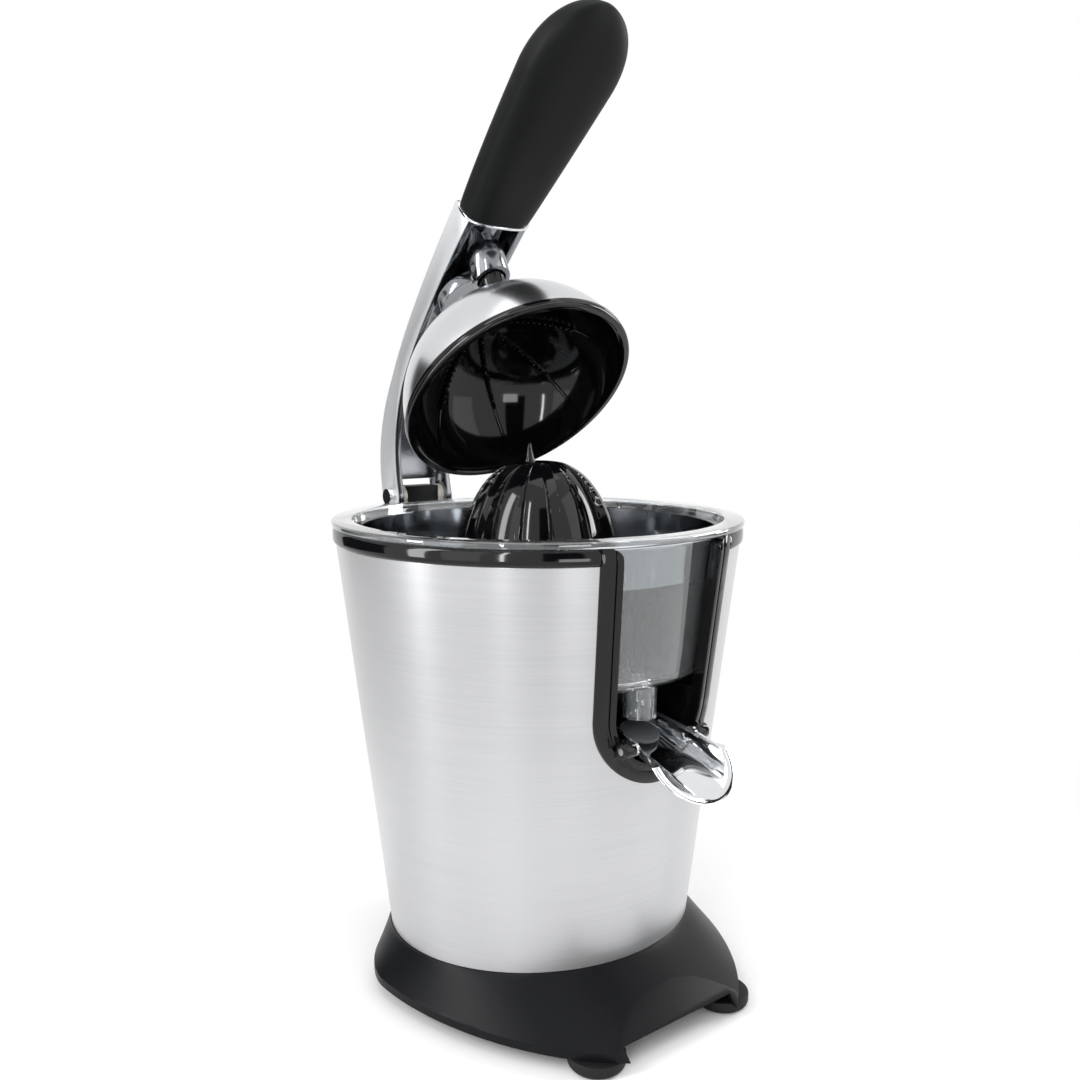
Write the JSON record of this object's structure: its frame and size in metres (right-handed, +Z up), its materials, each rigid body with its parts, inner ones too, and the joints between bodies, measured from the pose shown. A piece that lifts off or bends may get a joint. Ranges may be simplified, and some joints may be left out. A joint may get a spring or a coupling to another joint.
{
  "type": "lever citrus press",
  "caption": "Lever citrus press: tapered steel body on a flared black base, clear juice collector, ribbed cone, flip spout and a hinged arm with a dome press.",
  "frame": {"origin": "on the floor under the body's axis, midway between the spout's lip and the back of the arm", "axes": "+Z up, the spout faces -Y, the lever hinge is on the +Y side, +X is the right side seen from behind"},
  "size_m": [0.19, 0.2375, 0.4278],
  "materials": {
    "steel": "brushed",
    "base_black": "fine texture",
    "gloss_black": "gloss",
    "clear": "clear plastic",
    "sieve_steel": "polished",
    "cast_metal": "satin",
    "dome_steel": "satin",
    "chrome": "mirror",
    "grip_black": "soft touch",
    "rubber": "matt",
    "inner_plastic": "moulded",
    "gear_plastic": "moulded",
    "plain_steel": "turned",
    "motor_metal": "zinc plated",
    "brass": "turned"
  },
  "bodies": {
    "base_body": {"base_skirt": "base_black", "base_plate": "base_black", "foot_front_left": "rubber", "foot_front_right": "rubber", "foot_rear_left": "rubber", "foot_rear_right": "rubber", "base_screws": "plain_steel", "frame_posts": "inner_plastic", "body_shell": "steel", "top_collar": "gloss_black", "window_bezel": "gloss_black", "housing_tub": "inner_plastic", "spout_recess": "gloss_black", "cable_gland": "rubber", "hinge_block": "base_black", "hinge_pin": "chrome", "hinge_washers": "gear_plastic", "juice_collector": "clear", "sieve": "sieve_steel", "sieve_floor": "sieve_steel", "tower_bush": "brass", "shaft_seal": "rubber", "return_spring": "plain_steel", "gearbox_case": "gear_plastic", "gearbox_cover": "gear_plastic", "gearbox_screws": "plain_steel", "idler_axle": "plain_steel", "motor_can": "motor_metal", "motor_screws": "plain_steel", "microswitch": "inner_plastic", "spout_pins": "plain_steel"},
    "arm_body": {"arm": "cast_metal", "grip_ferrule": "chrome", "grip_tang": "cast_metal", "grip": "grip_black", "dome_pivot_pin": "plain_steel"},
    "dome_body": {"dome_shell": "dome_steel", "dome_liner": "gloss_black", "dome_rim": "gloss_black", "dome_boss": "gloss_black"},
    "output_gear_body": {"output_gear": "gear_plastic"},
    "reamer_body": {"reamer_cone": "gloss_black", "drive_shaft": "plain_steel", "thrust_collar": "plain_steel"},
    "idler_body": {"idler_gear": "gear_plastic"},
    "rotor_body": {"motor_shaft": "brass"},
    "spout_body": {"spout": "chrome", "drip_disc": "rubber"}
  },
  "joints": [
    {"name": "arm_hinge", "type": "hinge", "parent": "base_body", "child": "arm_body", "pos_m": [0, 0.11, 0.2152], "axis": [1, 0, 0], "range_deg": [0, 32.5]},
    {"name": "dome_tilt", "type": "hinge", "parent": "arm_body", "child": "dome_body", "pos_m": [0, 0.03924, 0.32925], "axis": [1, 0, 0], "range_deg": [-6, 6]},
    {"name": "reamer_spin", "type": "hinge", "parent": "base_body", "child": "output_gear_body", "pos_m": [0, 0, 0.122], "axis": [0, 0, 1], "continuous": true},
    {"name": "reamer_press", "type": "slide", "parent": "output_gear_body", "child": "reamer_body", "axis": [0, 0, 1], "range_m": [-0.002, 0], "stiffness_N_per_m": 1500, "springref_m": 0.002, "deforming": ["return_spring"]},
    {"name": "idler_spin", "type": "hinge", "parent": "base_body", "child": "idler_body", "pos_m": [0, 0.04375, 0.112], "axis": [0, 0, 1], "continuous": true},
    {"name": "motor_spin", "type": "hinge", "parent": "base_body", "child": "rotor_body", "pos_m": [-0.024, 0.02184, 0.09], "axis": [0, 0, 1], "continuous": true},
    {"name": "spout_flip", "type": "hinge", "parent": "base_body", "child": "spout_body", "pos_m": [0, -0.086, 0.128], "axis": [-1, 0, 0], "range_deg": [0, 18]}
  ],
  "couplings": [
    {"joint": "idler_spin", "follows": "reamer_spin", "ratio": -4},
    {"joint": "motor_spin", "follows": "reamer_spin", "ratio": 16}
  ]
}
